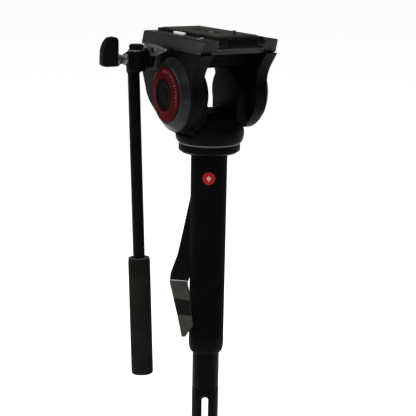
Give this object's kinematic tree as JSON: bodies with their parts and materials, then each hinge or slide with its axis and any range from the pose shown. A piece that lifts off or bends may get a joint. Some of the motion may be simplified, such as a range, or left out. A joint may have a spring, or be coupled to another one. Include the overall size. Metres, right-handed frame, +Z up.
{
  "type": "tripod with fluid head",
  "caption": "Compact tripod with a rubber gripped telescopic column and a fluid video head with sliding camera plate and pan bar.",
  "frame": {"origin": "on the floor under the middle of the whole bounding box", "axes": "+Z up along the column, -Y towards the front of the head, where the camera looks, +X to the right of the head seen from its front"},
  "size_m": [0.3384, 0.2964, 0.7398],
  "materials": {
    "black_metal": "fine black powder coat",
    "black_plastic": "fine grained moulding",
    "grey_metal": "satin",
    "steel": "turned",
    "red_accent": "satin red",
    "rubber": "matt",
    "foam": "closed cell foam",
    "webbing": "woven webbing",
    "vial": "clear tinted"
  },
  "bodies": {
    "base": {"leg_hub": "black_metal", "fork_pin": "steel", "front_leg_pivot": "steel", "right_leg_pivot": "steel", "left_leg_pivot": "steel"},
    "mast": {"fork": "black_plastic", "inner_tube": "black_metal"},
    "fork_lever": {"fork_lock_lever": "black_plastic"},
    "column": {"outer_tube": "black_metal", "grip_sleeve": "rubber", "badge": "red_accent", "wrist_strap": "webbing", "base_flange": "black_metal", "pan_spindle": "steel"},
    "collar": {"twist_collar": "black_plastic"},
    "pan": {"pan_body": "black_metal", "level_vial": "vial", "pan_washer": "grey_metal", "left_drag_cartridge": "steel", "right_drag_cartridge": "steel"},
    "pan_lock": {"pan_lock_knob": "black_plastic"},
    "tilt": {"receiver": "black_metal", "left_cheek": "black_metal", "right_cheek": "black_metal", "left_tilt_ring": "red_accent", "right_tilt_ring": "red_accent", "left_tilt_cap": "black_plastic", "right_tilt_cap": "black_plastic", "left_tilt_axle": "steel", "right_tilt_axle": "steel", "left_rosette": "grey_metal", "right_rosette_cap": "black_plastic", "wear_strip": "grey_metal"},
    "plate": {"camera_plate": "black_metal", "plate_pad": "rubber", "anti_twist_pin": "steel"},
    "screw": {"camera_screw": "steel"},
    "release_button": {"plate_release_button": "steel"},
    "plate_lever": {"plate_lock_lever": "black_plastic"},
    "tilt_lever": {"tilt_lock_lever": "grey_metal"},
    "handle": {"bar_clamp": "black_metal", "clamp_cap": "black_plastic", "pan_bar": "black_metal", "pan_bar_grip": "foam"},
    "wing": {"wing_knob": "black_plastic"},
    "front_leg": {"front_upper_leg": "black_metal", "front_leg_collar": "black_plastic"},
    "front_lever": {"front_leg_lever": "black_plastic"},
    "front_lower": {"front_lower_leg": "grey_metal", "front_foot": "rubber"},
    "right_leg": {"right_upper_leg": "black_metal", "right_leg_collar": "black_plastic"},
    "right_lever": {"right_leg_lever": "black_plastic"},
    "right_lower": {"right_lower_leg": "grey_metal", "right_foot": "rubber"},
    "left_leg": {"left_upper_leg": "black_metal", "left_leg_collar": "black_plastic"},
    "left_lever": {"left_leg_lever": "black_plastic"},
    "left_lower": {"left_lower_leg": "grey_metal", "left_foot": "rubber"}
  },
  "joints": [
    {"name": "mast_fold", "type": "hinge", "parent": "base", "child": "mast", "pos_m": [0, 0.04569, 0.298], "axis": [0.8607, -0.509, 0], "range_deg": [0, 90]},
    {"name": "fork_lever_turn", "type": "hinge", "parent": "mast", "child": "fork_lever", "pos_m": [0, 0.04569, 0.298], "axis": [0.8607, -0.509, 0], "range_deg": [0, 90]},
    {"name": "column_slide", "type": "slide", "parent": "mast", "child": "column", "axis": [0, 0, 1], "range_m": [0, 0.15]},
    {"name": "collar_twist", "type": "hinge", "parent": "column", "child": "collar", "pos_m": [0, 0.04569, 0.4], "axis": [0, 0, 1], "range_deg": [0, 90]},
    {"name": "pan", "type": "hinge", "parent": "column", "child": "pan", "pos_m": [0, 0.04569, 0.628], "axis": [0, 0, 1], "continuous": true},
    {"name": "pan_lock_turn", "type": "hinge", "parent": "pan", "child": "pan_lock", "pos_m": [0, 0.09069, 0.632], "axis": [0, 1, 0], "range_deg": [0, 180]},
    {"name": "tilt", "type": "hinge", "parent": "pan", "child": "tilt", "pos_m": [0, 0.04569, 0.673], "axis": [1, 0, 0], "range_deg": [-40, 90]},
    {"name": "plate_slide", "type": "slide", "parent": "tilt", "child": "plate", "axis": [0, 1, 0], "range_m": [-0.04, 0.04]},
    {"name": "camera_screw_turn", "type": "hinge", "parent": "plate", "child": "screw", "pos_m": [0, 0.04769, 0.728], "axis": [0, 0, 1], "continuous": true},
    {"name": "release_button_press", "type": "slide", "parent": "tilt", "child": "release_button", "axis": [-1, 0, 0], "range_m": [0, 0.003], "stiffness_N_per_m": 300},
    {"name": "plate_lever_turn", "type": "hinge", "parent": "tilt", "child": "plate_lever", "pos_m": [0.036, 0.06769, 0.719], "axis": [0, 0, 1], "range_deg": [0, 60]},
    {"name": "tilt_lever_turn", "type": "hinge", "parent": "tilt", "child": "tilt_lever", "pos_m": [-0.053, 0.08369, 0.706], "axis": [1, 0, 0], "range_deg": [-35, 0]},
    {"name": "handle_angle", "type": "hinge", "parent": "tilt", "child": "handle", "pos_m": [-0.06, 0.08369, 0.706], "axis": [1, 0, 0], "range_deg": [-40, 100]},
    {"name": "wing_turn", "type": "hinge", "parent": "handle", "child": "wing", "pos_m": [-0.08, 0.08369, 0.706], "axis": [1, 0, 0], "continuous": true},
    {"name": "front_leg_spread", "type": "hinge", "parent": "base", "child": "front_leg", "pos_m": [0, 0.01869, 0.265], "axis": [1, 0, 0], "range_deg": [0, 30]},
    {"name": "front_lever_turn", "type": "hinge", "parent": "front_leg", "child": "front_lever", "pos_m": [0, -0.07644, 0.12824], "axis": [1, 0, 0], "range_deg": [-110, 0]},
    {"name": "front_leg_slide", "type": "slide", "parent": "front_leg", "child": "front_lower", "axis": [0, -0.5, -0.866], "range_m": [0, 0.09]},
    {"name": "right_leg_spread", "type": "hinge", "parent": "base", "child": "right_leg", "pos_m": [0.02338, 0.05919, 0.265], "axis": [-0.5, 0.866, 0], "range_deg": [0, 30]},
    {"name": "right_lever_turn", "type": "hinge", "parent": "right_leg", "child": "right_lever", "pos_m": [0.10576, 0.10675, 0.12824], "axis": [-0.5, 0.866, 0], "range_deg": [-110, 0]},
    {"name": "right_leg_slide", "type": "slide", "parent": "right_leg", "child": "right_lower", "axis": [0.433, 0.25, -0.866], "range_m": [0, 0.09]},
    {"name": "left_leg_spread", "type": "hinge", "parent": "base", "child": "left_leg", "pos_m": [-0.02338, 0.05919, 0.265], "axis": [-0.5, -0.866, 0], "range_deg": [0, 30]},
    {"name": "left_lever_turn", "type": "hinge", "parent": "left_leg", "child": "left_lever", "pos_m": [-0.10576, 0.10675, 0.12824], "axis": [-0.5, -0.866, 0], "range_deg": [-110, 0]},
    {"name": "left_leg_slide", "type": "slide", "parent": "left_leg", "child": "left_lower", "axis": [-0.433, 0.25, -0.866], "range_m": [0, 0.09]}
  ]
}
